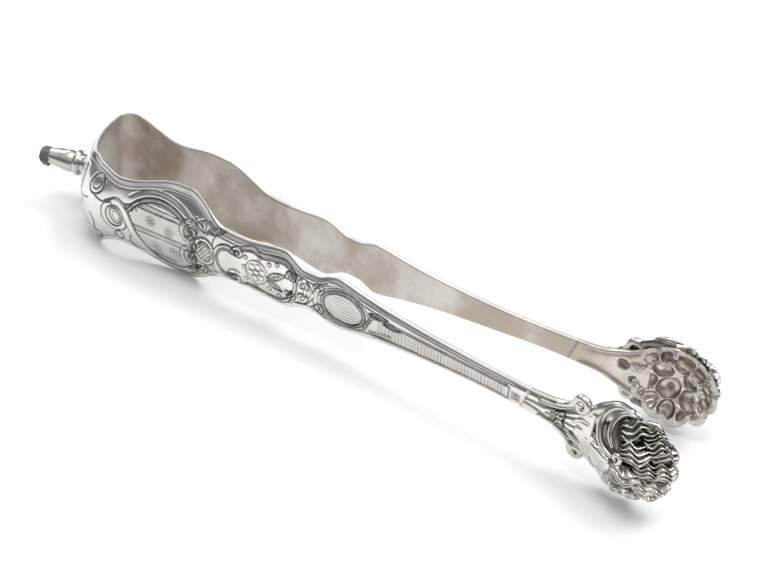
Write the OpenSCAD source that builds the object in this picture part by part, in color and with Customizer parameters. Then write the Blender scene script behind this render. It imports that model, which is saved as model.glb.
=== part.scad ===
// Sprung silver tongs: a springy bow, two chased arms, two cast shell terminals and a turned finial.
// Millimetres. +X runs from the bow to the tips, +Y is the left arm, +Z is up.
// The tongs lie on the lower edges of the strip, at z = 0, and are centred on x = 0 and y = 0.

/* [Overall] */
// Overall length, from the finial's end to the tips of the shells
overall_l = 161; // [156:0.5:170]
// Half width of the strip at its widest lobes
lobe_half = 11.25; // [10.6:0.05:12]

/* [Strip] */
// Thickness of the strip
strip_t = 1.5; // [1.2:0.05:1.7]
// Radius of the strip's domed section
dome_r = 28; // [24:1:60]
// Where the arms are closest together, along X
waist_x = 5.9; // [2:0.1:10]
// Half of the distance over both arms at that place
waist_half = 8.85; // [8:0.05:10]
// Radius of each arm's gentle outward curve
arm_bend_r = 600; // [450:10:900]
// Distance from the middle of the length to the front of the bow
bow_reach = 66.7; // [65:0.1:68]
// Radius of the bow's gently curved front
front_r = 27; // [22:0.5:32]
// Turn of the bow's front, which stands askew on the old, hand-bent strip
front_skew = 15; // [4:1:16]
// Outer radius of the bow's corner on the left arm's side
left_corner_r = 6.5; // [6:0.1:8]
// Outer radius of the bow's corner on the right arm's side
right_corner_r = 7.2; // [6:0.1:8]

/* [Outline] */
// Half width between the shoulder and the large lobe
dip_w = 8.3; // [7.5:0.1:9.5]
// Half width between the large lobe and the second lobe
neck_w = 6.0; // [5:0.1:7]
// Half width of the second lobe
second_w = 6.9; // [6:0.1:8]
// Half width of the notch between the second and third lobes
notch_w = 4.7; // [4:0.1:5.5]
// Half width of the third lobe
third_w = 6.15; // [5.6:0.05:7]
// Half width of the slender part of the arm
slender_w = 2.6; // [2.2:0.1:3]

/* [Terminals] */
// Where the strip's end is soldered to the casting, along X
solder_x = 48.6; // [47:0.2:52]
// Lean of the soldered seam
solder_lean = 20; // [0:1:30]
// Outer radius of the shell's dome
shell_r = 11.5; // [11:0.1:12.5]
// Wall of the shell
shell_t = 1.4; // [1:0.1:1.8]
// Depth of the shell, from its rim to the top of its dome
shell_depth = 4.6; // [4:0.1:5]
// Radius of the circle that the shell's scallops stand on
scallop_ring = 6.6; // [6.4:0.1:6.8]
// Radius of one scallop
scallop_r = 2.6; // [2.4:0.05:2.8]
// Outward lean of the shell, so that the rims meet flat when the tongs close
shell_lean = 3.5; // [2:0.1:5]
// Radius of the scrolled ears on the casting's neck
ear_r = 1.6; // [1.2:0.1:2]

/* [Finial] */
// Radius of the finial's flared foot
foot_r = 3.2; // [2.6:0.1:3.6]
// Radius of the bead above the foot
bead_r = 2.6; // [2.2:0.1:2.8]
// Radius of the stem at its outer end
stem_end_r = 1.95; // [1.6:0.05:2.2]
// Radius of the rivet that holds the finial
rivet_r = 1.0; // [0.8:0.05:1.2]

/* [Fits] */
// Radius of the round seam where each arm flexes against the bow
seam_r = 3.0; // [2.4:0.1:4]
// Clearance in that seam
seam_gap = 0.06; // [0.03:0.01:0.1]
// Radial clearance round the rivet
rivet_gap = 0.03; // [0.01:0.01:0.05]

/* [Hidden] */

silver = "gainsboro";
cast_silver = "silver";
dark_silver = "dimgray";

mid_z = lobe_half;                  // height of the strip's middle line
tip_x = overall_l / 2;
far = 200;                          // reach of the cutting blocks
band_end_x = 66;                    // where the strip's curve ends, inside the shell

arm_centre_y = waist_half + arm_bend_r;
front_x = -bow_reach;

front_centre = [front_x + front_r * cos(front_skew), front_r * sin(front_skew)];

// Each corner of the bow touches its arm's curve from outside and the front's curve from inside, so
// its centre is where two circles cross. side is 1 on the left and -1 on the right.
function corner_radius(side) = side > 0 ? left_corner_r : right_corner_r;
function corner(side) =
    let (r = corner_radius(side),
         d = [waist_x, side * arm_centre_y] - front_centre,
         a = (pow(front_r - r, 2) - pow(arm_bend_r + r, 2) + d * d) / (2 * norm(d)),
         h = sqrt(pow(front_r - r, 2) - a * a),
         u = d / norm(d))
    front_centre + a * u + side * h * [-u[1], u[0]];
function join_angle(side) =
    atan2(waist_x - corner(side)[0], arm_centre_y - side * corner(side)[1]);
function front_angle(side) =
    let (d = corner(side) - front_centre)
    (atan2(d[1], d[0]) + 360) % 360;

// The outer face of an arm, at mid height, at a distance x along the tongs.
function arm_y(x) = arm_centre_y - sqrt(pow(arm_bend_r, 2) - pow(x - waist_x, 2));

// Flexing axis of each arm: inside the wall, just beyond the end of the bow's right corner.
hinge_x = corner(-1)[0] + 2.5;
hinge_y = arm_y(hinge_x) - 1.2;

// Half width of the strip at points along X: [x, half width, slope].
KNOTS = [
    [-80.0, lobe_half, 0],
    [-59.6, lobe_half, 0],
    [-50.3, dip_w, 0],
    [-36.6, lobe_half, 0],
    [-34.0, lobe_half, 0],
    [-24.3, neck_w + 0.3, -0.12],
    [-19.2, neck_w, 0],
    [-9.3, second_w, 0],
    [-3.4, notch_w, 0],
    [-1.1, notch_w, 0],
    [3.7, third_w, 0],
    [9.3, third_w - 0.9, -0.17],
    [17.3, slender_w + 1.45, -0.11],
    [27.3, slender_w + 0.6, -0.06],
    [44.3, slender_w, 0],
    [52.8, slender_w + 0.25, 0.06],
    [56.8, slender_w + 1.0, 0.35],
    [60.4, slender_w + 2.4, 0.4],
    [66.0, slender_w + 4.4, 0.2]
];
outline_step = 1.6;

// Smooth curve from knot a to knot b, at share u of the way.
function between(a, b, u) =
    let (d = b[0] - a[0])
    a[1] * (2 * pow(u, 3) - 3 * pow(u, 2) + 1)
    + a[2] * d * (pow(u, 3) - 2 * pow(u, 2) + u)
    + b[1] * (3 * pow(u, 2) - 2 * pow(u, 3))
    + b[2] * d * (pow(u, 3) - pow(u, 2));
function is_flat(a, b) = a[1] == b[1] && a[2] == 0 && b[2] == 0;
function stretch(a, b) =
    let (n = is_flat(a, b) ? 1 : ceil((b[0] - a[0]) / outline_step))
    [for (i = [0 : n - 1]) [a[0] + (b[0] - a[0]) * i / n, between(a, b, i / n)]];
function reversed(v) = [for (i = [len(v) - 1 : -1 : 0]) v[i]];

upper_edge = concat(
    [for (i = [0 : len(KNOTS) - 2]) each stretch(KNOTS[i], KNOTS[i + 1])],
    [[KNOTS[len(KNOTS) - 1][0], KNOTS[len(KNOTS) - 1][1]]]);
lower_edge = [for (p = reversed(upper_edge)) [p[0], -p[1]]];

// Side view of the whole strip, as a block that crosses both arms.
module side_outline() {
    translate([0, 0, mid_z])
        rotate([90, 0, 0])
            linear_extrude(height = 60, center = true)
                polygon(concat(upper_edge, lower_edge));
}

// Section of the strip, domed outward towards +X, with its outer face at x = 0 unless it is inset.
module strip_section(inset = 0) {
    half_h = lobe_half + 0.5 - inset;
    translate([-dome_r, 0])
        intersection() {
            difference() {
                circle(r = dome_r - inset, $fn = 180);
                circle(r = dome_r - strip_t + inset, $fn = 180);
            }
            translate([dome_r / 2, -half_h])
                square([dome_r, 2 * half_h]);
        }
}

// A band bent round the Z axis with its domed face outward, from one angle to another.
module bent_band(r, from, to, inset = 0) {
    rotate([0, 0, from])
        rotate_extrude(angle = to - from, $fn = 180)
            translate([r, 0])
                strip_section(inset);
}

// An arm's long gentle curve, on the +Y side, from an angle before its narrowest place to x = to_x.
module arm_band(before, to_x, inset = 0) {
    end_a = asin((to_x - waist_x) / arm_bend_r);
    translate([waist_x, arm_centre_y, mid_z])
        rotate([0, 0, -90 - before])
            rotate_extrude(angle = before + end_a, $fn = 1440)
                translate([arm_bend_r, 0])
                    mirror([1, 0])
                        strip_section(inset);
}

// The whole bent strip of the bow. The front and the starts of the arms are thinner by a hair and
// run a little way into the two corners, so that the five bends fuse into one piece.
module bow_bends() {
    hair = 0.02;
    front_lap = 0.7;
    arm_lap = 0.03;
    translate([front_centre[0], front_centre[1], mid_z])
        bent_band(front_r, front_angle(1) - front_lap, front_angle(-1) + front_lap, hair);
    translate([corner(1)[0], corner(1)[1], mid_z])
        bent_band(left_corner_r, 90 - join_angle(1), front_angle(1));
    translate([corner(-1)[0], corner(-1)[1], mid_z])
        bent_band(right_corner_r, front_angle(-1), 270 + join_angle(-1));
    arm_band(join_angle(1) + arm_lap, hinge_x + 2 * seam_r, hair);
    mirror([0, 1, 0])
        arm_band(join_angle(-1) + arm_lap, hinge_x + 2 * seam_r, hair);
}

// The front's own frame: origin on its outer face at mid height, X inward, Y along it to the left.
module in_front_frame() {
    translate([front_x, 0, mid_z])
        rotate([0, 0, front_skew])
            children();
}

// The half of the strip on the +Y side, up to the end of the neck.
module half_strip() {
    intersection() {
        arm_band(join_angle(1), band_end_x);
        side_outline();
    }
}

// Everything on the bow's side of the flexing seam: a half space and a round nose.
module bow_side(extra) {
    translate([hinge_x - far, -far / 2, -1])
        cube([far, far, 30]);
    for (side = [-1, 1])
        translate([hinge_x, side * hinge_y, -1])
            cylinder(r = seam_r + extra, h = 30, $fn = 96);
}

// Everything beyond the leaning soldered seam.
module terminal_side() {
    translate([solder_x, 0, mid_z])
        rotate([0, solder_lean, 0])
            translate([0, -far / 2, -far / 2])
                cube([far, far, far]);
}

// The bow, with a hole for the rivet and a shallow round seat for the rivet's head inside.
module bow_spring() {
    color(silver)
        difference() {
            intersection() {
                bow_bends();
                side_outline();
                bow_side(0);
            }
            on_finial_axis(-strip_t - 2)
                cylinder(r = rivet_r + rivet_gap, h = strip_t + 4, $fn = 48);
            on_finial_axis(-strip_t - 2)
                cylinder(r = 2.1, h = 2.12, $fn = 48);
        }
}

// The flexing arm, on the +Y side, up to the soldered seam.
module arm() {
    difference() {
        half_strip();
        bow_side(seam_gap);
        terminal_side();
    }
}

// Places things on the finial's axis, which points away from the tips, a given height above the bow.
module on_finial_axis(height) {
    in_front_frame()
        translate([-height, 0, 0])
            rotate([0, -90, 0])
                children();
}

foot_h = 2.6;
tip_h = 2.4;
tip_round = 2.1;                    // radius of the rounding over the finial's end
// How far the finial stands out of the bow, so that its end is the end of the tongs.
finial_l = (tip_x - bow_reach - tip_round) / cos(front_skew) + tip_round;
seat = 0.02;                        // the foot's flat base stands just off the domed bow
socket_h = 6.5;                     // depth that the rivet reaches into the stem

// The flared foot: a thin rim and a hollow curve up to the bead.
module finial_foot() {
    color(silver)
        on_finial_axis(seat)
            rotate_extrude($fn = 96)
                difference() {
                    square([foot_r, foot_h]);
                    square([rivet_r + rivet_gap, foot_h]);
                    translate([foot_r + 0.7, foot_h + 0.1])
                        circle(r = 1.9, $fn = 72);
                }
}

// The stem: a rounded bead, a fillet and a long taper, with a blind hole for the rivet.
module finial_stem() {
    stem_h = finial_l - foot_h - tip_h - seat;
    color(silver)
        on_finial_axis(seat + foot_h)
            rotate_extrude($fn = 96)
                difference() {
                    union() {
                        polygon([[0, 0], [bead_r - 0.5, 0], [bead_r - 0.5, 2.2],
                                 [stem_end_r + 0.35, 2.4], [stem_end_r, stem_h], [0, stem_h]]);
                        intersection() {
                            translate([bead_r - 1, 1])
                                circle(r = 1, $fn = 48);
                            square([bead_r, 2.2]);
                        }
                    }
                    square([rivet_r + rivet_gap, socket_h - foot_h]);
                }
}

// The dark stub at the end: an eight-sided stud with its corners rounded over.
module finial_tip() {
    color(dark_silver)
        on_finial_axis(finial_l - tip_h)
            intersection() {
                cylinder(r = stem_end_r, h = tip_h, $fn = 8);
                translate([0, 0, tip_h - tip_round])
                    sphere(r = tip_round, $fn = 64);
            }
}

// The rivet: a low head inside the bow, and a shank through the bow and foot into the stem.
module finial_rivet() {
    head_h = 0.7;
    color(silver)
        on_finial_axis(-strip_t - head_h + 0.1)
            union() {
                cylinder(r = rivet_r, h = head_h + strip_t + socket_h - 0.3, $fn = 48);
                intersection() {
                    translate([0, 0, 2.6])
                        sphere(r = 2.6, $fn = 96);
                    cylinder(r = 1.8, h = head_h, $fn = 64);
                }
            }
}

module left_arm() {
    color(silver) arm();
}

module right_arm() {
    color(silver) mirror([0, 1, 0]) arm();
}

// The shell stands in its own frame: X towards the tip, Y outward, origin at the middle of its rim.
shell_reach = scallop_ring + scallop_r;
shell_x = tip_x - shell_reach * cos(shell_lean);
rim_y = arm_y(62) - strip_t + (shell_x - 62) * sin(shell_lean);
scallop_step = 36;
ear_x = 61;
ear_z = slender_w + 3.2;

module in_shell_frame() {
    translate([shell_x, rim_y, mid_z])
        rotate([0, 0, shell_lean])
            children();
}

// Scalloped front view of the shell, as a block.
module shell_outline() {
    rotate([90, 0, 0])
        linear_extrude(height = 2 * shell_depth + 4, center = true)
            union() {
                circle(r = scallop_ring + 1.2, $fn = 96);
                for (i = [-4 : 4])
                    rotate(i * scallop_step)
                        translate([scallop_ring, 0])
                            circle(r = scallop_r, $fn = 48);
            }
}

// Raised tufts on the shell's back: a big one in the middle and rings round it.
module tufts() {
    dome_y = shell_depth - shell_r;
    for (ring = [[0, 1, 0], [4.9, 6, 30]])
        for (i = [0 : ring[1] - 1]) {
            turn = ring[2] + i * 360 / ring[1];
            lean = asin(ring[0] / shell_r);
            translate([0, dome_y, 0])
                rotate([0, -turn, 0])
                    rotate([0, 0, -lean])
                        translate([0, shell_r - 1.6, 0])
                            sphere(r = 2.3, $fn = 64);
        }
}

// A cast terminal on the +Y side: the neck, its scrolled ears and leaf, and the hollow shell.
module terminal() {
    difference() {
        union() {
            intersection() {
                half_strip();
                terminal_side();
            }
            in_shell_frame() {
                intersection() {
                    shell_outline();
                    translate([0, shell_depth - shell_r, 0])
                        sphere(r = shell_r, $fn = 180);
                    translate([-15, 0, -15])
                        cube([30, 10, 30]);
                }
                tufts();
            }
            for (side = [-1, 1])
                translate([ear_x, arm_y(ear_x) - 0.7, mid_z + side * ear_z])
                    rotate([90, 0, 0])
                        cylinder(r = ear_r, h = 1.9, center = true, $fn = 48);
        }
        in_shell_frame()
            translate([0, shell_depth - shell_r, 0])
                sphere(r = shell_r - shell_t, $fn = 180);
    }
}

module left_terminal() {
    color(cast_silver) terminal();
}

module right_terminal() {
    color(cast_silver) mirror([0, 1, 0]) terminal();
}

bow_spring();
finial_foot();
finial_stem();
finial_tip();
finial_rivet();
left_arm();
right_arm();
left_terminal();
right_terminal();
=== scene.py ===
"""Looks of the sprung silver tongs: chased strips, cast shells and a turned finial, in metres."""
import math

import bpy
import numpy as np
from mathutils import Matrix, Vector


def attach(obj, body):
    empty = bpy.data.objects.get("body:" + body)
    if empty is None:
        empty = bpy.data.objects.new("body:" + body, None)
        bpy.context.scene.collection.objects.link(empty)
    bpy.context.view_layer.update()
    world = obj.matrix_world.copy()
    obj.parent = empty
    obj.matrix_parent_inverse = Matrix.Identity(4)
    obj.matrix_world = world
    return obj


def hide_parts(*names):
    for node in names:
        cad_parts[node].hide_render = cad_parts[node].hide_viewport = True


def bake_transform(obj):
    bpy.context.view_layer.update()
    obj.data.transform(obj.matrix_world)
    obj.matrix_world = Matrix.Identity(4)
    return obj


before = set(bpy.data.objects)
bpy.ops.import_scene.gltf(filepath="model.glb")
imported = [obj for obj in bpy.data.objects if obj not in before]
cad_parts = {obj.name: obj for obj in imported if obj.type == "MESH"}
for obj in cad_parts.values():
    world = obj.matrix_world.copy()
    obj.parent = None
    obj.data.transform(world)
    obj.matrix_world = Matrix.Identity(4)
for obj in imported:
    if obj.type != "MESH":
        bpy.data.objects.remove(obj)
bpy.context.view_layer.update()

MM = 0.001

# ---- the strip's own geometry, in mm
MID_Z = 11.25                       # height of the strip's middle line
DOME_R = 28.0                       # section of the strip, domed outward
STRIP_T = 1.5
ARM_R = 600.0                       # gentle outward curve of each arm
WAIST_X = 5.9
ARM_CY = 8.85 + ARM_R
FRONT_R = 27.0
SKEW = 15.0                         # the bow's front stands askew
FRONT_X = -66.7
FRONT_C = FRONT_R * np.array([math.cos(math.radians(SKEW)), math.sin(math.radians(SKEW))]) + [FRONT_X, 0.0]
CORNER_R = {1: 6.5, -1: 7.2}        # at the left and the right half
SOLDER_X = 48.6                     # where the castings are soldered on,
LEAN = math.tan(math.radians(20))   # along a slanting seam

LOBE, DIP, NECK, SECOND, NOTCH, THIRD, SLENDER = 11.25, 8.3, 6.0, 6.9, 4.7, 6.15, 2.6
# the strip's outline: (x, half width, slope)
KNOTS = [(-200, LOBE, 0), (-59.6, LOBE, 0), (-50.3, DIP, 0), (-36.6, LOBE, 0), (-34.0, LOBE, 0),
         (-24.3, NECK + 0.3, -0.12), (-19.2, NECK, 0), (-9.3, SECOND, 0), (-3.4, NOTCH, 0),
         (-1.1, NOTCH, 0), (3.7, THIRD, 0), (9.3, THIRD - 0.9, -0.17), (17.3, SLENDER + 1.45, -0.11),
         (27.3, SLENDER + 0.6, -0.06), (44.3, SLENDER, 0), (52.8, SLENDER + 0.25, 0.06),
         (56.8, SLENDER + 1.0, 0.35), (60.4, SLENDER + 2.4, 0.4), (66.0, SLENDER + 4.4, 0.2)]


def half_width(x):
    """Half width of the strip at a distance x along the tongs."""
    x = np.asarray(x, float)
    w = np.full(x.shape, LOBE)
    for (x0, w0, s0), (x1, w1, s1) in zip(KNOTS, KNOTS[1:]):
        m = (x >= x0) & (x <= x1)
        d = x1 - x0
        u = (x[m] - x0) / d
        w[m] = (w0 * (2 * u**3 - 3 * u**2 + 1) + s0 * d * (u**3 - 2 * u**2 + u)
                + w1 * (3 * u**2 - 2 * u**3) + s1 * d * (u**3 - u**2))
    return w


def corner_centre(side):
    r = CORNER_R[side]
    d = np.array([WAIST_X, side * ARM_CY]) - FRONT_C
    n = np.linalg.norm(d)
    a = ((FRONT_R - r)**2 - (ARM_R + r)**2 + n * n) / (2 * n)
    h = math.sqrt((FRONT_R - r)**2 - a * a)
    u = d / n
    return FRONT_C + a * u + side * h * np.array([-u[1], u[0]])


def smooth(a, b, v):
    u = np.clip((np.asarray(v, float) - a) / (b - a), 0, 1)
    return u * u * (3 - 2 * u)


class Path:
    """The middle line of one half of the strip's outer face, measured by q: x along the arm, and
    the length along the bend before it."""

    def __init__(self, side):
        self.side = side
        self.c = corner_centre(side)
        self.r = CORNER_R[side]
        join = math.atan2(WAIST_X - self.c[0], ARM_CY - side * self.c[1])
        d = self.c - FRONT_C
        # angles measured from the -X direction, towards the half's own side
        self.a_front = math.radians(SKEW) * -side        # where the front's middle is
        self.a_corner = math.atan2(side * d[1], -d[0])    # where the front meets the corner
        self.a_join = math.pi / 2 + join                  # where the corner meets the arm
        self.q_join = WAIST_X - ARM_R * math.sin(join)
        self.q_corner = self.q_join - self.r * (self.a_join - self.a_corner)
        self.q_start = self.q_corner - FRONT_R * (self.a_corner - self.a_front)

    def at(self, q):
        """Point and outward normal in plan."""
        q = np.asarray(q, float)
        x, y, nx, ny = (np.zeros(q.shape) for _ in range(4))
        arm = q >= self.q_join
        a = np.arcsin((q[arm] - WAIST_X) / ARM_R)
        nx[arm], ny[arm] = -np.sin(a), np.cos(a)
        x[arm] = q[arm]
        y[arm] = ARM_CY - ARM_R * np.cos(a)
        corner, front = (q < self.q_join) & (q >= self.q_corner), q < self.q_corner
        for m, c, r, a0, q0 in ((corner, self.c, self.r, self.a_corner, self.q_corner),
                                (front, FRONT_C, FRONT_R, self.a_front, self.q_start)):
            t = a0 + (q[m] - q0) / r
            nx[m], ny[m] = -np.cos(t), np.sin(t)
            x[m] = c[0] + r * nx[m]
            y[m] = self.side * c[1] + r * ny[m]
        return x, y * self.side, nx, ny * self.side


PATHS = {1: Path(1), -1: Path(-1)}


# ---- chasing: strokes on a height field
class Chase:
    """A height field over points (q, z), in mm. height is raised outward, and dark is tarnish."""

    def __init__(self, q, z):
        self.shape = q.shape
        self.q, self.z = q.ravel(), z.ravel()
        self.height = np.zeros(self.q.size)
        self.dark = np.zeros(self.q.size)
        self.sheen_and_wear = np.zeros(self.q.size)       # where the patina is rubbed off, and where a highlight is painted as bright metal

    def stain(self, amount):
        self.dark = np.maximum(self.dark, amount)

    def add_sheen_and_wear(self, amount):
        self.sheen_and_wear = np.maximum(self.sheen_and_wear, amount)

    def near(self, pts, reach):
        """The indices of the points within reach of the box round pts."""
        lo, hi = pts.min(0) - reach, pts.max(0) + reach
        m = (self.q > lo[0]) & (self.q < hi[0]) & (self.z > lo[1]) & (self.z < hi[1])
        return np.nonzero(m)[0]

    def distance(self, pts, idx):
        """How far the points idx are from the line through pts."""
        p = np.stack([self.q[idx], self.z[idx]], 1)
        best = np.full(len(idx), 1e9)
        for a, b in zip(pts, pts[1:]):
            d = b - a
            n = float(d @ d)
            t = np.clip(((p - a) @ d) / n, 0, 1) if n > 0 else np.zeros(len(p))
            e = p - a - t[:, None] * d
            best = np.minimum(best, (e * e).sum(1))
        return np.sqrt(best)

    def groove(self, pts, width=0.2, depth=0.12, dark=1.0):
        pts = np.asarray(pts, float)
        idx = self.near(pts, 3 * width)
        if len(idx):
            f = np.exp(-(self.distance(pts, idx) / (1.15 * width))**4)
            self.height[idx] -= 1.3 * depth * f
            self.dark[idx] = np.maximum(self.dark[idx], dark * f)

    def ridge(self, pts, width=0.4, height=0.2):
        """A raised, rounded rib with a fine dark groove along both sides."""
        pts = np.asarray(pts, float)
        idx = self.near(pts, 3 * width)
        if len(idx):
            d = self.distance(pts, idx)
            self.height[idx] += height * np.exp(-(d / width)**4)
            f = np.exp(-((d - 1.25 * width) / 0.2)**4)
            self.height[idx] -= 0.12 * f
            self.dark[idx] = np.maximum(self.dark[idx], 0.95 * f)

    def band(self, pts, width, height=0.1):
        """A flat ribbon between two dark lines, which covers what it crosses."""
        pts = np.asarray(pts, float)
        idx = self.near(pts, 2 * width)
        if len(idx):
            d = self.distance(pts, idx)
            inside = smooth(width, width - 0.25, d)
            self.height[idx] = self.height[idx] * (1 - inside) + height * inside
            f = np.exp(-((d - width) / 0.2)**4)
            self.dark[idx] = np.maximum(self.dark[idx] * (1 - inside), f)
            self.height[idx] -= 0.12 * f

    def field(self, inside, level=-0.08, angle=90.0, pitch=0.8, depth=0.05, dark=0.35, base=0.12):
        """A sunk field, filled with fine parallel lines. inside is a weight at every point."""
        a = math.radians(angle)
        t = (self.q * math.cos(a) + self.z * math.sin(a)) / pitch
        line = np.exp(-(((t - np.round(t)) * pitch) / 0.17)**2)
        self.height += inside * (level - depth * line)
        self.stain(inside * (base + dark * line))

    def blob(self, c, rx, rz, height, rim=0.9):
        """A small raised boss with a dark outline."""
        d = np.sqrt(((self.q - c[0]) / rx)**2 + ((self.z - c[1]) / rz)**2)
        self.height += height * np.sqrt(np.clip(1 - d * d, 0, 1))
        f = np.exp(-((d - 1.08) * min(rx, rz) / 0.16)**2)
        self.height -= 0.08 * f
        self.stain(rim * f)


def arc(c, rx, rz, a0, a1, tilt=0.0, n=28):
    t = np.radians(np.linspace(a0, a1, n))
    x, y = rx * np.cos(t), rz * np.sin(t)
    k = math.radians(tilt)
    return np.stack([c[0] + x * math.cos(k) - y * math.sin(k), c[1] + x * math.sin(k) + y * math.cos(k)], 1)


def spiral(c, r, start, turns, shrink=0.15, n=40):
    """A volute that starts on a circle of radius r and winds in."""
    u = np.linspace(0, 1, n)
    t = math.radians(start) + 2 * math.pi * turns * u
    rr = r * (1 - (1 - shrink) * u**0.8)
    return np.stack([c[0] + rr * np.cos(t), c[1] + rr * np.sin(t)], 1)


def bezier(*p, n=30):
    """A smooth curve through the control points' Bernstein blend."""
    p = np.asarray(p, float)
    k = len(p) - 1
    u = np.linspace(0, 1, n)[:, None]
    return sum(math.comb(k, i) * u**i * (1 - u)**(k - i) * p[i] for i in range(k + 1))


def through(*p, n=10):
    """A smooth curve that passes through the points."""
    p = np.asarray(p, float)
    ext = np.vstack([2 * p[0] - p[1], p, 2 * p[-1] - p[-2]])
    out = []
    for i in range(1, len(ext) - 2):
        a, b, c, d = ext[i - 1:i + 3]
        for u in np.linspace(0, 1, n, endpoint=False):
            bend = (2 * a - 5 * b + 4 * c - d) * u * u + (3 * b - a - 3 * c + d) * u**3
            out.append(0.5 * (2 * b + (c - a) * u + bend))
    return np.array(out + [p[-1]])


def leaf(ch, root, tip, width, veins=4, depth=0.14):
    """A pointed engraved leaf from root to tip, with a midrib and side veins."""
    root, tip = np.array(root, float), np.array(tip, float)
    d = tip - root
    n = np.array([-d[1], d[0]]) / np.linalg.norm(d)
    for s in (-1, 1):
        belly = s * n * width
        side = bezier(root, root + d * 0.35 + belly * 1.3, root + d * 0.75 + belly * 0.8, tip, n=16)
        ch.groove(side, 0.19, depth)
        for i in range(veins):
            b = root + d * (0.15 + 0.6 * i / veins)
            ch.groove([b, b + d * 0.16 + belly * 0.55 * (1 - 0.7 * i / veins)], 0.13, 0.07, 0.6)
    ch.groove([root + d * 0.08, root + d * 0.85], 0.14, 0.09, 0.8)


def fan(ch, c, angle, length, spread, rays=5):
    """A fan of petals that open from c."""
    def end(i, reach):
        a = math.radians(angle + spread * (i / (rays - 1) - 0.5))
        return c[0] + reach * math.cos(a), c[1] + reach * math.sin(a)

    for i in range(rays):
        ch.groove([c, end(i, length)], 0.16, 0.1, 0.8)
        if i < rays - 1:
            petal = bezier(end(i, length), end(i + 0.5, length * 1.18), end(i + 1, length), n=8)
            ch.groove(petal, 0.16, 0.12)


def rosette(ch, c, r, petals=5):
    ch.blob(c, r * 0.32, r * 0.32, 0.12)
    for i in range(petals):
        a = 2 * math.pi * i / petals + 0.3
        petal = (c[0] + r * 0.7 * math.cos(a), c[1] + r * 0.7 * math.sin(a))
        ch.blob(petal, r * 0.36, r * 0.36, 0.08, 0.7)


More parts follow.
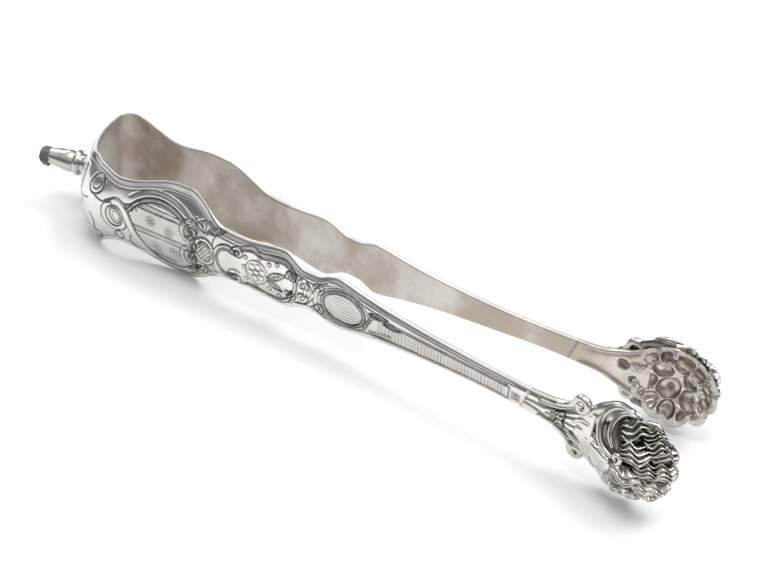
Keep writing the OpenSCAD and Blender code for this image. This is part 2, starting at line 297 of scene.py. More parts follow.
def chase_arm(ch, w):
    """All the ornament on an arm's outer face. w is the strip's half width at every point."""
    q, z = ch.q, ch.z
    edge = w - np.abs(z)

    # large medallion on the first lobe: sunk fields behind straight double bands
    c = (-39.6, -1.0)
    d = np.sqrt(((q - c[0]) / 8.2)**2 + ((z - c[1]) / 7.2)**2)
    corner = smooth(-0.2, 0.4, z - (-2.9 - 0.95 * (q + 46.5)))      # the ribbon cuts it off here
    inside = smooth(1.0, 0.94, d) * smooth(-10.4, -9.6, z) * corner
    ch.field(inside * smooth(-7.6, -7.3, z) * smooth(4.3, 4.0, z), -0.09, 90, 0.62, 0.03, 0.22, 0.16)
    for zz in (4.4, -1.5, -7.4):
        for e in (-0.55, 0.0, 0.55):
            half = 8.2 * math.sqrt(max(0.02, 1 - ((zz - c[1]) / 7.2)**2))
            x0 = max(c[0] - half, -46.5 + (-2.9 - zz) / 0.95)
            line = [(x0, zz + e + 0.3), (c[0] + half - 0.4, zz + e - 0.2)]
            ch.groove(line, 0.17, 0.12, 0.95 if e else 0.5)
    for cc in ((-41.8, 1.6), (-37.2, 0.6), (-40.6, -4.6), (-35.9, -4.4)):
        rosette(ch, cc, 1.15, 6)
    for k, r in enumerate((1.0, 1.12, 1.3)):
        border = arc(c, 8.2 * r, 7.2 * r + 0.1, 4 if k else -20, 152 - 8 * k)
        ch.groove(border, 0.2, 0.14, 1.0 if k < 2 else 0.7)
    ch.groove(arc(c, 8.2 * 1.42, 9.6, 22, 118), 0.17, 0.09, 0.6)
    ch.ridge(arc(c, 8.2 * 1.06, 7.2 * 1.06, -25, 155), 0.3, 0.12)
    # little steps at the left shoulder of the medallion
    for k in range(3):
        ch.groove(arc((-46.8 - 0.9 * k, 2.6 - 0.3 * k), 1.6, 1.3, 20, 150), 0.17, 0.11, 0.8)

    # ribbon: a ring at the left that crosses the medallion's corner and runs down to the right
    ribbon = through((-52.6, 2.3), (-50.6, 3.2), (-48.7, 2.2), (-47.4, -0.6), (-45.6, -4.2),
                     (-42.9, -7.4), (-39.2, -9.3), (-35.0, -9.2), (-31.6, -7.2))
    ch.band(ribbon, 0.85, 0.16)
    ch.groove(ribbon, 0.12, 0.05, 0.35)
    ring = arc((-50.9, -0.3), 2.75, 3.2, 60, 400)
    ch.band(ring, 0.62, 0.14)
    ch.band(ribbon[8:], 0.85, 0.16)
    ch.groove(arc((-50.7, -0.2), 1.35, 1.9, 0, 360, 20), 0.18, 0.14)
    ch.groove(arc((-50.5, -0.2), 0.8, 1.3, 0, 360, 20), 0.15, 0.09, 0.7)
    ch.groove(arc((-50.3, -5.6), 1.0, 1.25, 0, 360), 0.18, 0.13)
    ch.groove([(-50.3, -4.4), (-49.9, -3.6)], 0.15, 0.1)
    ch.groove(bezier((-47.2, -4.4), (-48.4, -6.6), (-46.0, -8.0), (-44.2, -8.6)), 0.18, 0.12)
    ch.groove(bezier((-48.2, -6.4), (-47.0, -7.6), (-45.6, -8.4)), 0.15, 0.1)

    # loops and a tendril on the bow's corner
    for x0, zc, rx, rz, t in ((-61.3, 5.3, 1.15, 3.1, -8), (-55.6, 5.7, 1.6, 2.4, -24)):
        ch.groove(arc((x0, zc), rx, rz, 0, 360, t), 0.19, 0.14)
        ch.groove(arc((x0 + 0.1, zc + 0.2), rx * 0.5, rz * 0.55, 0, 360, t), 0.15, 0.09, 0.7)
        foot = zc - rz
        ch.groove(bezier((x0 - 0.4, foot), (x0 + 1.2, foot - 1.7), (x0 + 3.4, foot - 0.4)), 0.17, 0.12)
    tendril = through((-66.0, 0.6), (-64.6, -1.6), (-63.3, -3.6), (-61.6, -4.9), (-60.0, -5.2), (-58.0, -5.9),
                      (-56.4, -6.9))
    ch.groove(tendril, 0.19, 0.14)
    ch.groove(arc((-65.2, 0.4), 1.0, 2.0, 0, 360, 22), 0.18, 0.13)
    ch.groove(through((-57.4, -1.9), (-56.6, -3.8), (-56.7, -5.6), (-57.3, -6.6)), 0.18, 0.13)
    ch.groove(arc((-56.3, -7.7), 0.75, 1.35, 0, 360, 10), 0.18, 0.13)
    ch.groove(arc((-60.6, -0.2), 0.35, 0.5, 0, 360), 0.16, 0.08, 0.6)

    # paired volutes at the medallion's right
    for s, cz in ((1, 2.9), (-1, -3.5)):
        ch.ridge(arc((-32.0, cz), 2.0, 2.3, 70 if s > 0 else -70, 290 if s > 0 else -290), 0.46, 0.24)
        ch.ridge(spiral((-31.6, cz), 1.3, 250 if s > 0 else -250, s * 1.1, 0.2), 0.36, 0.22)
        ch.blob((-31.6, cz), 0.55, 0.55, 0.22)
    # oval boss with cross hatching, in a doubled frame
    boss = (-28.4, -0.7)
    d = np.sqrt(((q - boss[0]) / 1.75)**2 + ((z - boss[1]) / 2.3)**2)
    inner = smooth(1.0, 0.9, d)
    ch.height += 0.3 * inner
    for ang in (38, -38):
        a = math.radians(ang)
        t = ((q - boss[0]) * math.cos(a) + (z - boss[1]) * math.sin(a)) / 0.72
        line = np.exp(-(((t - np.round(t)) * 0.72) / 0.15)**2) * inner
        ch.height -= 0.12 * line
        ch.stain(0.95 * line)
    for k in (1.08, 1.55):
        ch.groove(arc(boss, 1.75 * k, 2.3 * k, 0, 360), 0.18, 0.15)
    # stalks from the boss to the edges, with fan leaves
    for s in (1, -1):
        ch.groove(bezier((-31.0, -0.7 + s * 2.2), (-29.8, s * 4.0 - 0.7), (-30.8, s * 6.4)), 0.18, 0.13)
        ch.groove(bezier((-26.2, -0.7 + s * 2.0), (-26.6, s * 3.6 - 0.6), (-25.2, s * 4.9)), 0.18, 0.13)
        fan(ch, (-28.2, s * 4.1 - 0.4), 90 * s, 2.7, 115, 5)
    leaf(ch, (-27.6, 4.4), (-23.4, 6.0), 0.8, 3)
    leaf(ch, (-29.4, -5.0), (-33.2, -7.6), 0.8, 3)

    # round C scroll with two volutes
    ch.ridge(arc((-22.6, -0.7), 3.1, 3.7, 50, 310), 0.34, 0.2)
    ch.groove(arc((-22.6, -0.7), 2.3, 2.9, 60, 300), 0.17, 0.11, 0.8)
    for eye, r, start, turns in (((-19.9, 2.6), 1.35, 190, -1.1), ((-20.4, -4.0), 1.45, 170, 1.1)):
        ch.ridge(spiral(eye, r, start, turns, 0.2), 0.36, 0.22)
        ch.blob(eye, 0.5, 0.5, 0.2)
    ch.groove(arc((-20.4, -4.0), 2.1, 2.1, 60, 250), 0.17, 0.12, 0.8)

    # second cartouche: wavy borders over a punched ground, with a flower
    top = through((-19.0, 4.2), (-16.6, 4.9), (-14.0, 4.4), (-11.4, 4.9), (-8.8, 5.1), (-6.8, 4.2),
                  (-5.6, 2.8))
    low = through((-19.4, -5.6), (-16.8, -4.6), (-14.2, -5.0), (-11.6, -5.4), (-9.0, -5.0),
                  (-7.2, -3.6), (-6.6, -1.8))
    for line, s in ((top, -1), (low, 1)):
        ch.ridge(line, 0.3, 0.16)
        ch.groove(line + np.array([0, 0.75 * s]), 0.16, 0.11, 0.8)
    rosette(ch, (-15.2, -0.3), 2.1, 6)
    ch.groove(arc((-15.2, -0.3), 2.7, 2.9, 20, 340), 0.16, 0.1, 0.8)
    for punch in ((-18.0, 2.4), (-17.7, -2.9), (-12.2, 2.9), (-12.0, -3.0), (-14.6, 3.5), (-15.4, -3.9),
                  (-18.2, 0.0), (-10.4, 3.6), (-9.6, -3.8)):
        ch.blob(punch, 0.42, 0.42, 0.1, 1.0)
    leaf(ch, (-12.6, -0.4), (-8.2, 1.8), 1.0, 3)
    leaf(ch, (-12.6, -1.0), (-8.8, -2.4), 0.8, 2)
    ch.ridge(arc((-8.0, 0.2), 2.4, 3.0, -75, 75), 0.3, 0.18)
    for s in (1, -1):
        ch.ridge(spiral((-6.6, s * 2.3 + 0.1), 1.15, 200 * s, -s * 1.2, 0.2), 0.34, 0.22)
        ch.ridge(spiral((-3.9, s * 1.6 + 0.1), 1.2, -20 * s, s * 1.2, 0.2), 0.34, 0.22)
        ch.groove(bezier((-5.4, s * 3.4), (-3.4, s * 3.6), (-2.2, s * 2.4), (-1.4, s * 0.8)), 0.17, 0.12)
        ch.ridge(spiral((0.2, s * 2.2 - 0.1), 1.25, 160 * s, -s * 1.15, 0.2), 0.34, 0.22)
        ch.groove(bezier((-1.4, s * 0.8), (-0.8, s * 2.2), (0.2, s * 4.0), (2.0, s * 4.4)), 0.17, 0.12)
    for k in range(4):
        ch.groove(arc((-4.2 + 0.9 * k, 0.1), 0.6, 1.4 - 0.2 * k, -80, 80), 0.15, 0.1, 0.7)

    # third medallion with straight hatching and concentric borders
    c3 = (6.0, 0.0)
    d = np.sqrt(((q - c3[0]) / 4.7)**2 + ((z - c3[1]) / 3.35)**2)
    ch.field(smooth(1.0, 0.93, d), -0.07, 90, 0.75, 0.05, 0.4, 0.12)
    for k, r in enumerate((1.0, 1.16, 1.32)):
        ch.groove(arc(c3, 4.7 * r, 3.35 * r, 0, 360, 0, 48), 0.18, 0.13, 1.0 - 0.15 * k)
    ch.ridge(arc(c3, 4.7 * 1.08, 3.35 * 1.08, 0, 360, 0, 48), 0.2, 0.1)
    for k in range(6):
        ch.blob((11.2 + 0.42 * k, -2.2 + 0.9 * k * (1 if k < 3 else 0.9)), 0.36, 0.36, 0.13, 1.0)
    # leaf drop with pearls
    leaf(ch, (12.2, 1.9), (16.6, 2.2), 0.75, 3)
    leaf(ch, (15.6, 1.2), (19.8, 1.1), 0.6, 3)
    for k in range(5):
        ch.blob((13.0 + 1.05 * k, -2.3 + 0.22 * k), 0.34, 0.34, 0.12, 0.9)

    # tapering panel with transverse hatching between two border lines, and its bracket end
    x = np.linspace(13.4, 44.6, 60)
    up, dn = 0.36 * half_width(x), -0.62 * half_width(x)
    upper, lower = np.stack([x, up], 1), np.stack([x, dn], 1)
    for line in (upper, lower):
        ch.groove(line, 0.17, 0.13, 0.95)
    ch.groove(upper + np.array([0, 0.45]), 0.14, 0.08, 0.6)
    ch.groove(lower - np.array([0, 0.45]), 0.14, 0.08, 0.6)
    inside = smooth(14.0, 14.4, q) * smooth(44.6, 44.2, q)
    inside = inside * smooth(0, 0.15, 0.36 * w - z) * smooth(0, 0.15, z + 0.62 * w)
    ch.field(inside, -0.05, 0, 0.78, 0.07, 0.5, 0.1)
    ch.groove([(44.6, up[-1] + 0.4), (45.3, 0.9), (45.3, -1.7), (44.6, dn[-1] - 0.4)], 0.17, 0.13)
    # blank punch mark
    punch = smooth(0.0, 0.2, 1.15 - np.abs(q - 46.9)) * smooth(0.0, 0.2, 0.95 - np.abs(z + 0.4))
    ch.height -= 0.16 * punch
    ch.stain(0.55 * punch)
    ch.blob((46.9, -0.4), 0.5, 0.45, 0.1, 0.5)

    # border line along both edges, double on the bow
    for inset, depth, dark, where in ((1.75, 0.14, 0.85, smooth(20, 14, q)),
                                      (1.1, 0.1, 0.65, smooth(-48, -54, q))):
        border = np.exp(-((edge - inset) / 0.16)**2) * where
        ch.height -= depth * border
        ch.stain(dark * border)
    fine = np.exp(-((edge - 0.75) / 0.14)**2) * smooth(12, 18, q) * smooth(47, 45, q)
    ch.height -= 0.08 * fine
    ch.stain(0.6 * fine)


def face_inside(ch, w, side):
    """The plain inner face of the strip: a painted highlight in the bow's crown, drawn as an oval of bright
    metal, and lighter patches in a few places.
    """
    q, z = ch.q, ch.z
    middle = PATHS[side].q_start + (2.2 if side > 0 else -2.2)
    d = np.sqrt(((q - middle) / 6.0)**2 + ((z + 0.3) / 8.0)**2)
    # painted highlight: the patina taken off in an oval in the crown, so that it shows bright
    ch.add_sheen_and_wear(smooth(1.2, 0.75, d))
    for cq, cz, r, k in ((-30.0, 2.0, 7.0, 0.5), (8.0, 0.0, 9.0, 0.45), (-12.0, -1.0, 6.0, 0.35)):
        ch.add_sheen_and_wear(k * np.exp(-((q - cq) / r)**2 - ((z - cz) / 5.0)**2))
    line = np.exp(-((w - np.abs(z) - 0.9) / 0.25)**2) * smooth(-50, -54, q)
    ch.height += 0.08 * line
    ch.stain(0.4 * line)


def neck_inside(ch, w, side):
    """The casting's inner face: raised edges, two round hollows by the shell and the solder seam."""
    q, z = ch.q, ch.z
    ch.add_sheen_and_wear(0.5 - 0.2 * smooth(54.0, 61.0, q))
    ridge = np.exp(-((w - np.abs(z) - 0.55) / 0.35)**2) * smooth(49.5, 52, q)
    ch.height += 0.22 * ridge
    ch.add_sheen_and_wear(0.9 * ridge)
    channel = np.exp(-((w - np.abs(z) - 1.35) / 0.35)**2) * smooth(49.5, 53, q)
    ch.height -= 0.12 * channel
    ch.stain(0.45 * channel)
    for cq, cz, r in ((59.4, 1.1, 1.35), (61.6, -2.0, 0.9)):
        d = np.sqrt((q - cq)**2 + (z - cz)**2) / r
        ch.height -= 0.45 * r * np.sqrt(np.clip(1 - d * d, 0, 1))
        ch.stain(0.85 * smooth(1.05, 0.75, d))
        ch.add_sheen_and_wear(np.exp(-((d - 1.2) / 0.2)**2))
    seam = np.exp(-((q - 48.9) / 0.2)**2)
    ch.stain(0.5 * seam)


# ---- meshes
def grid_faces(rows, cols, wrap=False):
    """Quads of a grid of rows x cols points, with the rows closed into a ring if wrap is set."""
    i = np.arange(rows if wrap else rows - 1)[:, None]
    j = np.arange(cols - 1)[None, :]
    a = i * cols + j
    b = ((i + 1) % rows) * cols + j
    return np.stack([a, a + 1, b + 1, b], -1).reshape(-1, 4)


def add_mesh(name, verts, faces, attrs, flip=False):
    """A mesh object from points in mm and faces, with float attributes on its points."""
    mesh = bpy.data.meshes.new(name)
    faces = [tuple(reversed(f)) if flip else tuple(f) for f in faces]
    mesh.from_pydata((np.asarray(verts) * MM).tolist(), [], faces)
    for key, values in attrs.items():
        layer = mesh.attributes.new(key, "FLOAT", "POINT")
        layer.data.foreach_set("value", np.asarray(values, np.float32).ravel())
    mesh.validate()
    mesh.shade_smooth()
    obj = bpy.data.objects.new(name, mesh)
    bpy.context.scene.collection.objects.link(obj)
    return obj


def noise(q, z, seed, scale):
    """Smooth unevenness between -1 and 1, the same every run."""
    rng = np.random.default_rng(seed)
    out = np.zeros(np.shape(q))
    for _ in range(7):
        a, b, p = rng.uniform(-1, 1, 3)
        out = out + np.sin((a * q + b * z) / scale * 2.4 + p * 6.3)
    return out / 4.0


def section_offset(z, r):
    """How far the domed section falls back at a height z from the middle."""
    return r - np.sqrt(np.maximum(r * r - z * z, 0))


def strip_mesh(name, side, q, decorate, decorate_inner, thin=None, shear=None, lift=None, rows=110,
               inner_rows=26):
    """One half of the strip between the stations q, as a closed solid. decorate draws on the outer
    face and decorate_inner on the inner one. thin, shear and lift are given at every station: the
    wall, how far the cross lines lean, and how far the outer face stands out."""
    path = PATHS[side]
    w = half_width(q)
    cols = len(q)
    rim = 0.42                          # half of the rounded edge's height
    t = np.linspace(-1, 1, rows)[:, None]
    z_out = t * (w - rim)[None, :]
    q_out = np.broadcast_to(q[None, :], z_out.shape).copy()
    if shear is not None:
        q_out = q_out + LEAN * z_out * shear[None, :]
    w_out = np.broadcast_to(w[None, :], z_out.shape)
    ch = Chase(q_out, z_out)
    decorate(ch, w_out.ravel())
    height = ch.height.reshape(ch.shape)
    edge = w_out - np.abs(z_out)
    bevel = 0.5 * smooth(1.5, 0.2, edge)**1.3 * smooth(2.0, 5.0, w_out)
    bevel = bevel + 0.3 * smooth(1.2, 0.1, edge) * smooth(5.0, 2.0, w_out)
    roll = 0.85 * smooth(6.5, 0.0, edge) * smooth(5.5, 9.5, w_out)
    hand = 0.05 * noise(q_out, z_out, 4 + side, 9.0)
    e_out = section_offset(z_out, DOME_R) + bevel + roll - height * smooth(0.25, 0.8, edge) - hand
    if lift is not None:
        e_out = e_out - lift[None, :]
    thick = np.full(cols, STRIP_T) if thin is None else thin
    ti = np.linspace(1, -1, inner_rows)[:, None]
    z_in = ti * (w - rim)[None, :]
    q_in = np.broadcast_to(q[None, :], z_in.shape)
    hand_in = 0.06 * noise(q_in, z_in, 9 + side, 7.0)
    e_in = section_offset(z_in, DOME_R - STRIP_T) + thick[None, :] + hand_in
    back = Chase(q_in, z_in)
    decorate_inner(back, np.broadcast_to(w[None, :], z_in.shape).ravel(), side)
    e_in = e_in + back.height.reshape(z_in.shape)
    rows_z, rows_e = [z_out], [e_out]
    dark, inner = [ch.dark.reshape(ch.shape)], [np.zeros(z_out.shape)]

    def turn_edge(sign, eo, ei):
        """The rounded edge between the outer and the inner face."""
        for dz, f in ((0.2, 0.1), (0.04, 0.28), (0.0, 0.5), (0.04, 0.75), (0.18, 0.93)):
            rows_z.append((sign * (w - dz))[None, :])
            rows_e.append((eo * (1 - f) + ei * f)[None, :])
            dark.append(np.zeros((1, cols)))
            inner.append(np.full((1, cols), f * 0.5))

    turn_edge(1, e_out[-1], e_in[0])
    rows_z.append(z_in)
    rows_e.append(e_in)
    dark.append(back.dark.reshape(z_in.shape))
    inner.append(1 - 0.7 * back.sheen_and_wear.reshape(z_in.shape))
    turn_edge(-1, e_in[-1], e_out[0])
    z = np.vstack(rows_z)
    e = np.vstack(rows_e)
    qq = np.broadcast_to(q[None, :], z.shape).copy()
    if shear is not None:
        qq = qq + LEAN * z * shear[None, :]
    x, y, nx, ny = path.at(qq)
    verts = np.stack([x - nx * e, y - ny * e, z + MID_Z], -1).reshape(-1, 3)
    n = z.shape[0]
    faces = grid_faces(n, cols, wrap=True).tolist()
    faces.append([i * cols for i in range(n)])
    faces.append([i * cols + cols - 1 for i in range(n)][::-1])
    attrs = {"dark": np.vstack(dark), "inner": np.vstack(inner)}
    return add_mesh(name, verts, faces, attrs, flip=(side == 1))


def tube(pts, radii, ring=14):
    """Points and faces of a round rod along pts, with closed ends."""
    pts = np.asarray(pts, float)
    radii = np.asarray(radii, float)
    tan = np.gradient(pts, axis=0)
    tan /= np.linalg.norm(tan, axis=1)[:, None]
    up = np.array([0.0, 1.0, 0.0])
    side = np.cross(tan, up)
    side /= np.linalg.norm(side, axis=1)[:, None]
    other = np.cross(side, tan)
    a = np.linspace(0, 2 * math.pi, ring, endpoint=False)
    out = np.cos(a)[:, None, None] * side[None] + np.sin(a)[:, None, None] * other[None]
    v = pts[None] + radii[None, :, None] * out
    cols = len(pts)
    faces = grid_faces(ring, cols, wrap=True).tolist()
    faces.append([i * cols for i in range(ring)])
    faces.append([i * cols + cols - 1 for i in range(ring)][::-1])
    return v.reshape(-1, 3), faces


def join_parts(parts):
    """One list of points, faces and attributes from several."""
    verts, faces, base = [], [], 0
    attrs = {"dark": [], "inner": []}
    for v, f, a in parts:
        verts.append(v)
        faces.extend([[i + base for i in face] for face in f])
        base += len(v)
        for key in attrs:
            attrs[key].append(np.asarray(a[key], float).ravel())
    return np.vstack(verts), faces, {k: np.concatenate(v) for k, v in attrs.items()}


# ---- shells
SHELL_R, SHELL_T, SHELL_DEPTH, SHELL_REACH = 11.5, 1.4, 4.6, 9.2
SHELL_LEAN = math.radians(3.5)
RIM_WIDTH = 0.75


def arm_y(x):
    return ARM_CY - math.sqrt(ARM_R**2 - (x - WAIST_X)**2)


TIP_X, ROOT_X = 80.5, 62.0            # the shell's tip, and where it leaves the arm's curve
SHELL_X = TIP_X - SHELL_REACH * math.cos(SHELL_LEAN)
RIM_Y = arm_y(ROOT_X) - STRIP_T + (SHELL_X - ROOT_X) * math.sin(SHELL_LEAN)

# wave-shaped tufts: (x, z, length, half width, height), in the shell's own frame
TUFTS = [(0.2, 6.5, 5.2, 2.1, 1.7), (4.0, 6.7, 4.4, 1.7, 1.1), (6.4, 4.4, 5.0, 2.0, 1.4),
         (6.6, 0.7, 5.2, 2.0, 1.5), (6.0, -3.0, 5.0, 2.0, 1.5), (4.4, -5.7, 5.0, 1.9, 1.3),
         (1.0, -7.5, 4.6, 1.7, 1.2), (-3.4, -7.1, 4.8, 1.7, 1.3), (4.7, 4.9, 4.4, 1.6, 1.8),
         (4.2, 0.9, 4.8, 1.8, 2.0), (3.6, -2.6, 4.8, 1.8, 1.8), (1.6, 3.3, 5.8, 2.1, 2.4),
         (0.6, -1.0, 6.0, 2.1, 2.4), (-1.0, -4.7, 5.8, 2.1, 2.2)]
# hollows inside the shell: (x, z, radius)
DIMPLES = [(-5.9, 4.6, 1.6), (-3.4, 2.0, 2.0), (-6.2, -1.6, 1.9), (-2.2, 6.5, 1.9), (0.9, 4.0, 1.7),
           (-1.6, -2.7, 2.5), (-5.0, -5.6, 1.6), (2.0, 7.3, 1.7), (4.6, 4.5, 1.8), (3.1, 0.6, 1.9),
           (7.1, 1.7, 1.7), (3.5, -3.7, 2.1), (7.3, -2.3, 1.6), (-0.8, -7.1, 1.8), (2.9, -7.3, 1.4),
           (6.1, -5.8, 1.4)]


def skin(x, z):
    """Height of the casting's outer skin over the rim's plane: the shell's dome or the neck."""
    rho2 = x * x + z * z
    dome = SHELL_DEPTH - SHELL_R + np.sqrt(np.maximum(SHELL_R**2 - rho2, 9.0))
    brim = smooth(-7.0, 1.0, x)
    neck = 1.5 - 0.85 * brim - (1 - brim) * z * z / (2 * DOME_R)
    k = 0.5
    return np.log(np.exp(dome / k) + np.exp(np.minimum(neck, 3) / k)) * k


def over_skin(x, z, lift):
    """Points that stand a given height off the skin, along its normal."""
    e = 0.05
    y = skin(x, z)
    gx, gz = (skin(x + e, z) - y) / e, (skin(x, z + e) - y) / e
    n = np.stack([-gx, np.ones_like(gx), -gz], -1)
    n /= np.linalg.norm(n, axis=-1, keepdims=True)
    return np.stack([x, y, z], -1) + np.asarray(lift)[..., None] * n


def pillow(x, z, lift, dark, inner=0.0):
    """A closed, raised patch on the skin, from a grid of rows along it and columns across it."""
    under = 7
    k = np.linspace(1, 0, under + 2)[1:-1]
    top = over_skin(x, z, lift)
    sunk = np.full((x.shape[0], under), -0.45)
    low = over_skin(x[:, -1:] * k + x[:, :1] * (1 - k), z[:, -1:] * k + z[:, :1] * (1 - k), sunk)
    pts = np.concatenate([top, low], 1).transpose(1, 0, 2)
    rows, cols = pts.shape[:2]
    faces = grid_faces(rows, cols, wrap=True).tolist()
    faces.append([i * cols for i in range(rows)])
    faces.append([i * cols + cols - 1 for i in range(rows)][::-1])
    # the sides that dip into the skin are dark: tarnish and painted shade where the patch meets the skin
    d = np.concatenate([dark, np.full((x.shape[0], under), 0.8)], 1).T.ravel()
    return pts.reshape(-1, 3), faces, {"dark": np.clip(d, 0, 1), "inner": np.full(d.size, inner)}


def tuft(k, cx, cz, length, width, height):
    """One waved tuft: flutes that run along it in waves, a crest and a ragged curled tip."""
    s, t = np.linspace(0, 1, 56)[:, None], np.linspace(-1, 1, 60)[None, :]
    turn = math.atan2(cz, cx + 12.0) * 0.9
    flutes = 4 + k % 2
    flute = np.cos(math.pi * flutes * t + 0.5 * np.sin(5 * s + k))
    half = width * (0.5 + 0.5 * np.sin(math.pi * np.clip(0.12 + 0.6 * s, 0, 1)))
    along = (s - 0.5) * length * (1 + 0.2 * flute * s) - 0.3 * length * t * t * s**2
    wave = 0.34 * np.sin(2 * math.pi * 1.5 * s + 0.9 * k) + 0.12 * np.sin(17 * s + 2.0 * t + k)
    across = t * half + wave * smooth(0, 0.25, s)
    x = cx + along * math.cos(turn) - across * math.sin(turn)
    z = cz + along * math.sin(turn) + across * math.cos(turn)
    crest = 0.2 + 0.8 * np.sin(0.5 * math.pi * np.clip(s / 0.72, 0, 1))
    curl = np.sqrt(np.clip(1 - (np.clip(s - 0.72, 0, 1) / 0.285)**2, 0, 1))
    body = (1 - np.abs(t)**2.4)**0.5
    lift = height * crest * curl * body + 0.42 * flute * body * smooth(0, 0.2, s) * (0.5 + 0.5 * curl)
    groove = np.clip(0.5 - 0.62 * flute, 0, 1)
    # darker in the grooves between flutes, along the edges, at the root and at the curled tip: tarnish in the
    # hollows and painted shade where the tuft meets the shell
    dark = 0.85 * groove + 0.9 * smooth(0.76, 0.96, np.abs(t))
    dark = dark + 0.8 * smooth(0.25, 0.0, s) + 0.5 * smooth(0.9, 1.0, s)
    return pillow(x, z, lift, dark)


def leaf_patch(points, widths, lift, veins, wobble=0.0):
    """A smooth leaf of the collar along a curve, with lobes on its edges and shallow veins."""
    spine = through(*points, n=12)
    u = np.linspace(0, 1, len(spine))
    tan = np.gradient(spine, axis=0)
    tan /= np.linalg.norm(tan, axis=1)[:, None]
    t = np.linspace(-1, 1, 40)[None, :]
    lobes = 1 + wobble * np.sin(u * 21.0)[:, None]
    half = np.interp(u, np.linspace(0, 1, len(widths)), widths)[:, None] * lobes
    x = spine[:, :1] - tan[:, 1:] * t * half
    z = spine[:, 1:] + tan[:, :1] * t * half
    vein = np.exp(-((t * veins - np.round(t * veins)) / 0.16)**2) if veins else 0 * t
    body = (1 - np.abs(t)**3)**0.5
    ends = smooth(0, 0.06, u)[:, None] * smooth(1, 0.94, u)[:, None]
    # darker in the veins, as tarnish, and along the edges, as tarnish and painted shade where the leaf meets
    # the shell
    dark = 0.55 * vein * smooth(0.1, 0.4, u)[:, None] + 0.7 * smooth(0.86, 1.0, np.abs(t))
    return pillow(x, z, lift * body * (0.3 + 0.7 * ends) - 0.14 * vein * ends, dark + 0 * x)


def dimple_depth(x, z):
    """Depth of the irregular hollows inside the shell, the ridges where they meet, drawn bright partly as a
    painted highlight, and a painted shade that is darkest near each hollow's edge.
    """
    xw, zw = x + 0.45 * noise(x, z, 31, 2.6), z + 0.45 * noise(x, z, 32, 2.6)
    cells = DIMPLES + [(8.2 * math.cos(0.46 * k), 8.2 * math.sin(0.46 * k), 1.25) for k in range(14)]
    near = np.full(x.shape, 9.0)
    second = np.full(x.shape, 9.0)
    size = np.ones(x.shape)
    for cx, cz, r in cells:
        d = np.sqrt((xw - cx)**2 + (zw - cz)**2) / r
        second = np.minimum(second, np.maximum(near, d))
        size = np.where(d < near, r, size)
        near = np.minimum(near, d)
    depth = np.minimum(0.4 + 0.4 * size, 1.25) * np.sqrt(np.clip(1 - (near / 1.12)**2, 0, 1))
    # the ridges between hollows, raised and drawn lighter: rubbed bright in part, and in part a painted
    # highlight
    ridge = smooth(0.86, 1.1, near) * np.exp(-((second - near) / 0.45)**2)
    # painted shade: darkest in a ring just inside each hollow's edge, with the patina showing at its centre
    shade = 0.85 * np.exp(-((near - 0.84) / 0.2)**2) + 0.45 * smooth(0.7, 0.2, near)
    return depth, ridge, np.clip(shade, 0, 0.85)


SLIDE = {1: -1.3, -1: 1.2}            # the two castings sit a little differently on their arms
TUFT_REACH = {1: 0.84, -1: 1.0}       # and the far one's tufts stop short of its rim


def to_tongs(p, side):
    """From the shell's own frame (X to the tip, Y outward, Z up) into the tongs' frame."""
    c, s = math.cos(SHELL_LEAN), math.sin(SHELL_LEAN)
    x = SHELL_X + SLIDE[side] + p[:, 0] * c - p[:, 1] * s
    y = RIM_Y + p[:, 0] * s + p[:, 1] * c
    return np.stack([x, side * y, p[:, 2] + MID_Z], 1)


def shell_parts(side):
    """The scalloped hollow shell, in the tongs' frame."""
    rings, inner_rings, spokes = 30, 84, 400
    a = np.linspace(0, 2 * math.pi, spokes, endpoint=False)
    lobes = np.abs(np.cos(5.0 * (a + 0.12)))**0.6
    reach = 8.5 + 0.8 * lobes + 0.12 * np.sin(3 * a + 1.0) + 0.1 * np.sin(7 * a)
    rho = np.linspace(0, 1, rings)[:, None] * reach[None, :]
    x, z = rho * np.cos(a)[None, :], rho * np.sin(a)[None, :]
    lean = np.arcsin(np.clip(rho / SHELL_R, 0, 0.9))
    share = rho / reach[None, :]
    # the dome's outside, where the tufts and leaves stand, is dark: tarnish and painted shade in the gaps
    # between them; it turns lighter at the rim
    dark = 0.9 - 0.6 * smooth(0.93, 1.0, share) + 0 * x
    r = SHELL_R - 0.1 + 0.15 * lobes[None, :] * share**6
    cy = SHELL_DEPTH - SHELL_R

    def dome(radius, angle):
        """Points at a distance and an angle from the middle of the dome's sphere."""
        flat = radius * np.sin(angle)
        return np.stack([flat * np.cos(a), cy + radius * np.cos(angle), flat * np.sin(a)], -1)

    outer = dome(r, lean)
    rho_i = np.linspace(1, 0, inner_rings)[:, None] * (reach - RIM_WIDTH)[None, :]
    xi, zi = rho_i * np.cos(a)[None, :], rho_i * np.sin(a)[None, :]
    lean_i = np.arcsin(np.clip(rho_i / SHELL_R, 0, 0.9))
    depth, rim, shade = dimple_depth(xi, zi)
    ri = SHELL_R - SHELL_T - 0.25 + depth - 0.25 * rim
    inner = dome(ri, lean_i)
    rims = []
    for f in (0.3, 0.6, 0.85):
        swell = np.stack([np.cos(a), 0 * a - 0.25, np.sin(a)], -1) * 0.3 * math.sin(math.pi * f)
        rims.append((outer[-1] * (1 - f) + inner[0] * f + swell)[None])
    pts = np.concatenate([outer] + rims + [inner], 0)
    rows = pts.shape[0]
    around_first = pts.transpose(1, 0, 2).reshape(-1, 3)
    # the hollows' colour: the painted shade with mottled tarnish, and lighter on the ridges, partly as a
    # painted highlight
    hollow = np.clip(shade + 0.3 * noise(xi, zi, 33, 1.4) - 0.8 * rim, 0, 0.85)
    edge = np.ones((len(rims), spokes))
    attrs = {"dark": np.concatenate([dark, 0.2 * edge, hollow], 0).T.ravel(),
             "inner": np.concatenate([0 * x, 0.3 * edge, 1 - 0.6 * rim], 0).T.ravel()}
    return to_tongs(around_first, side), grid_faces(spokes, rows, wrap=True).tolist(), attrs


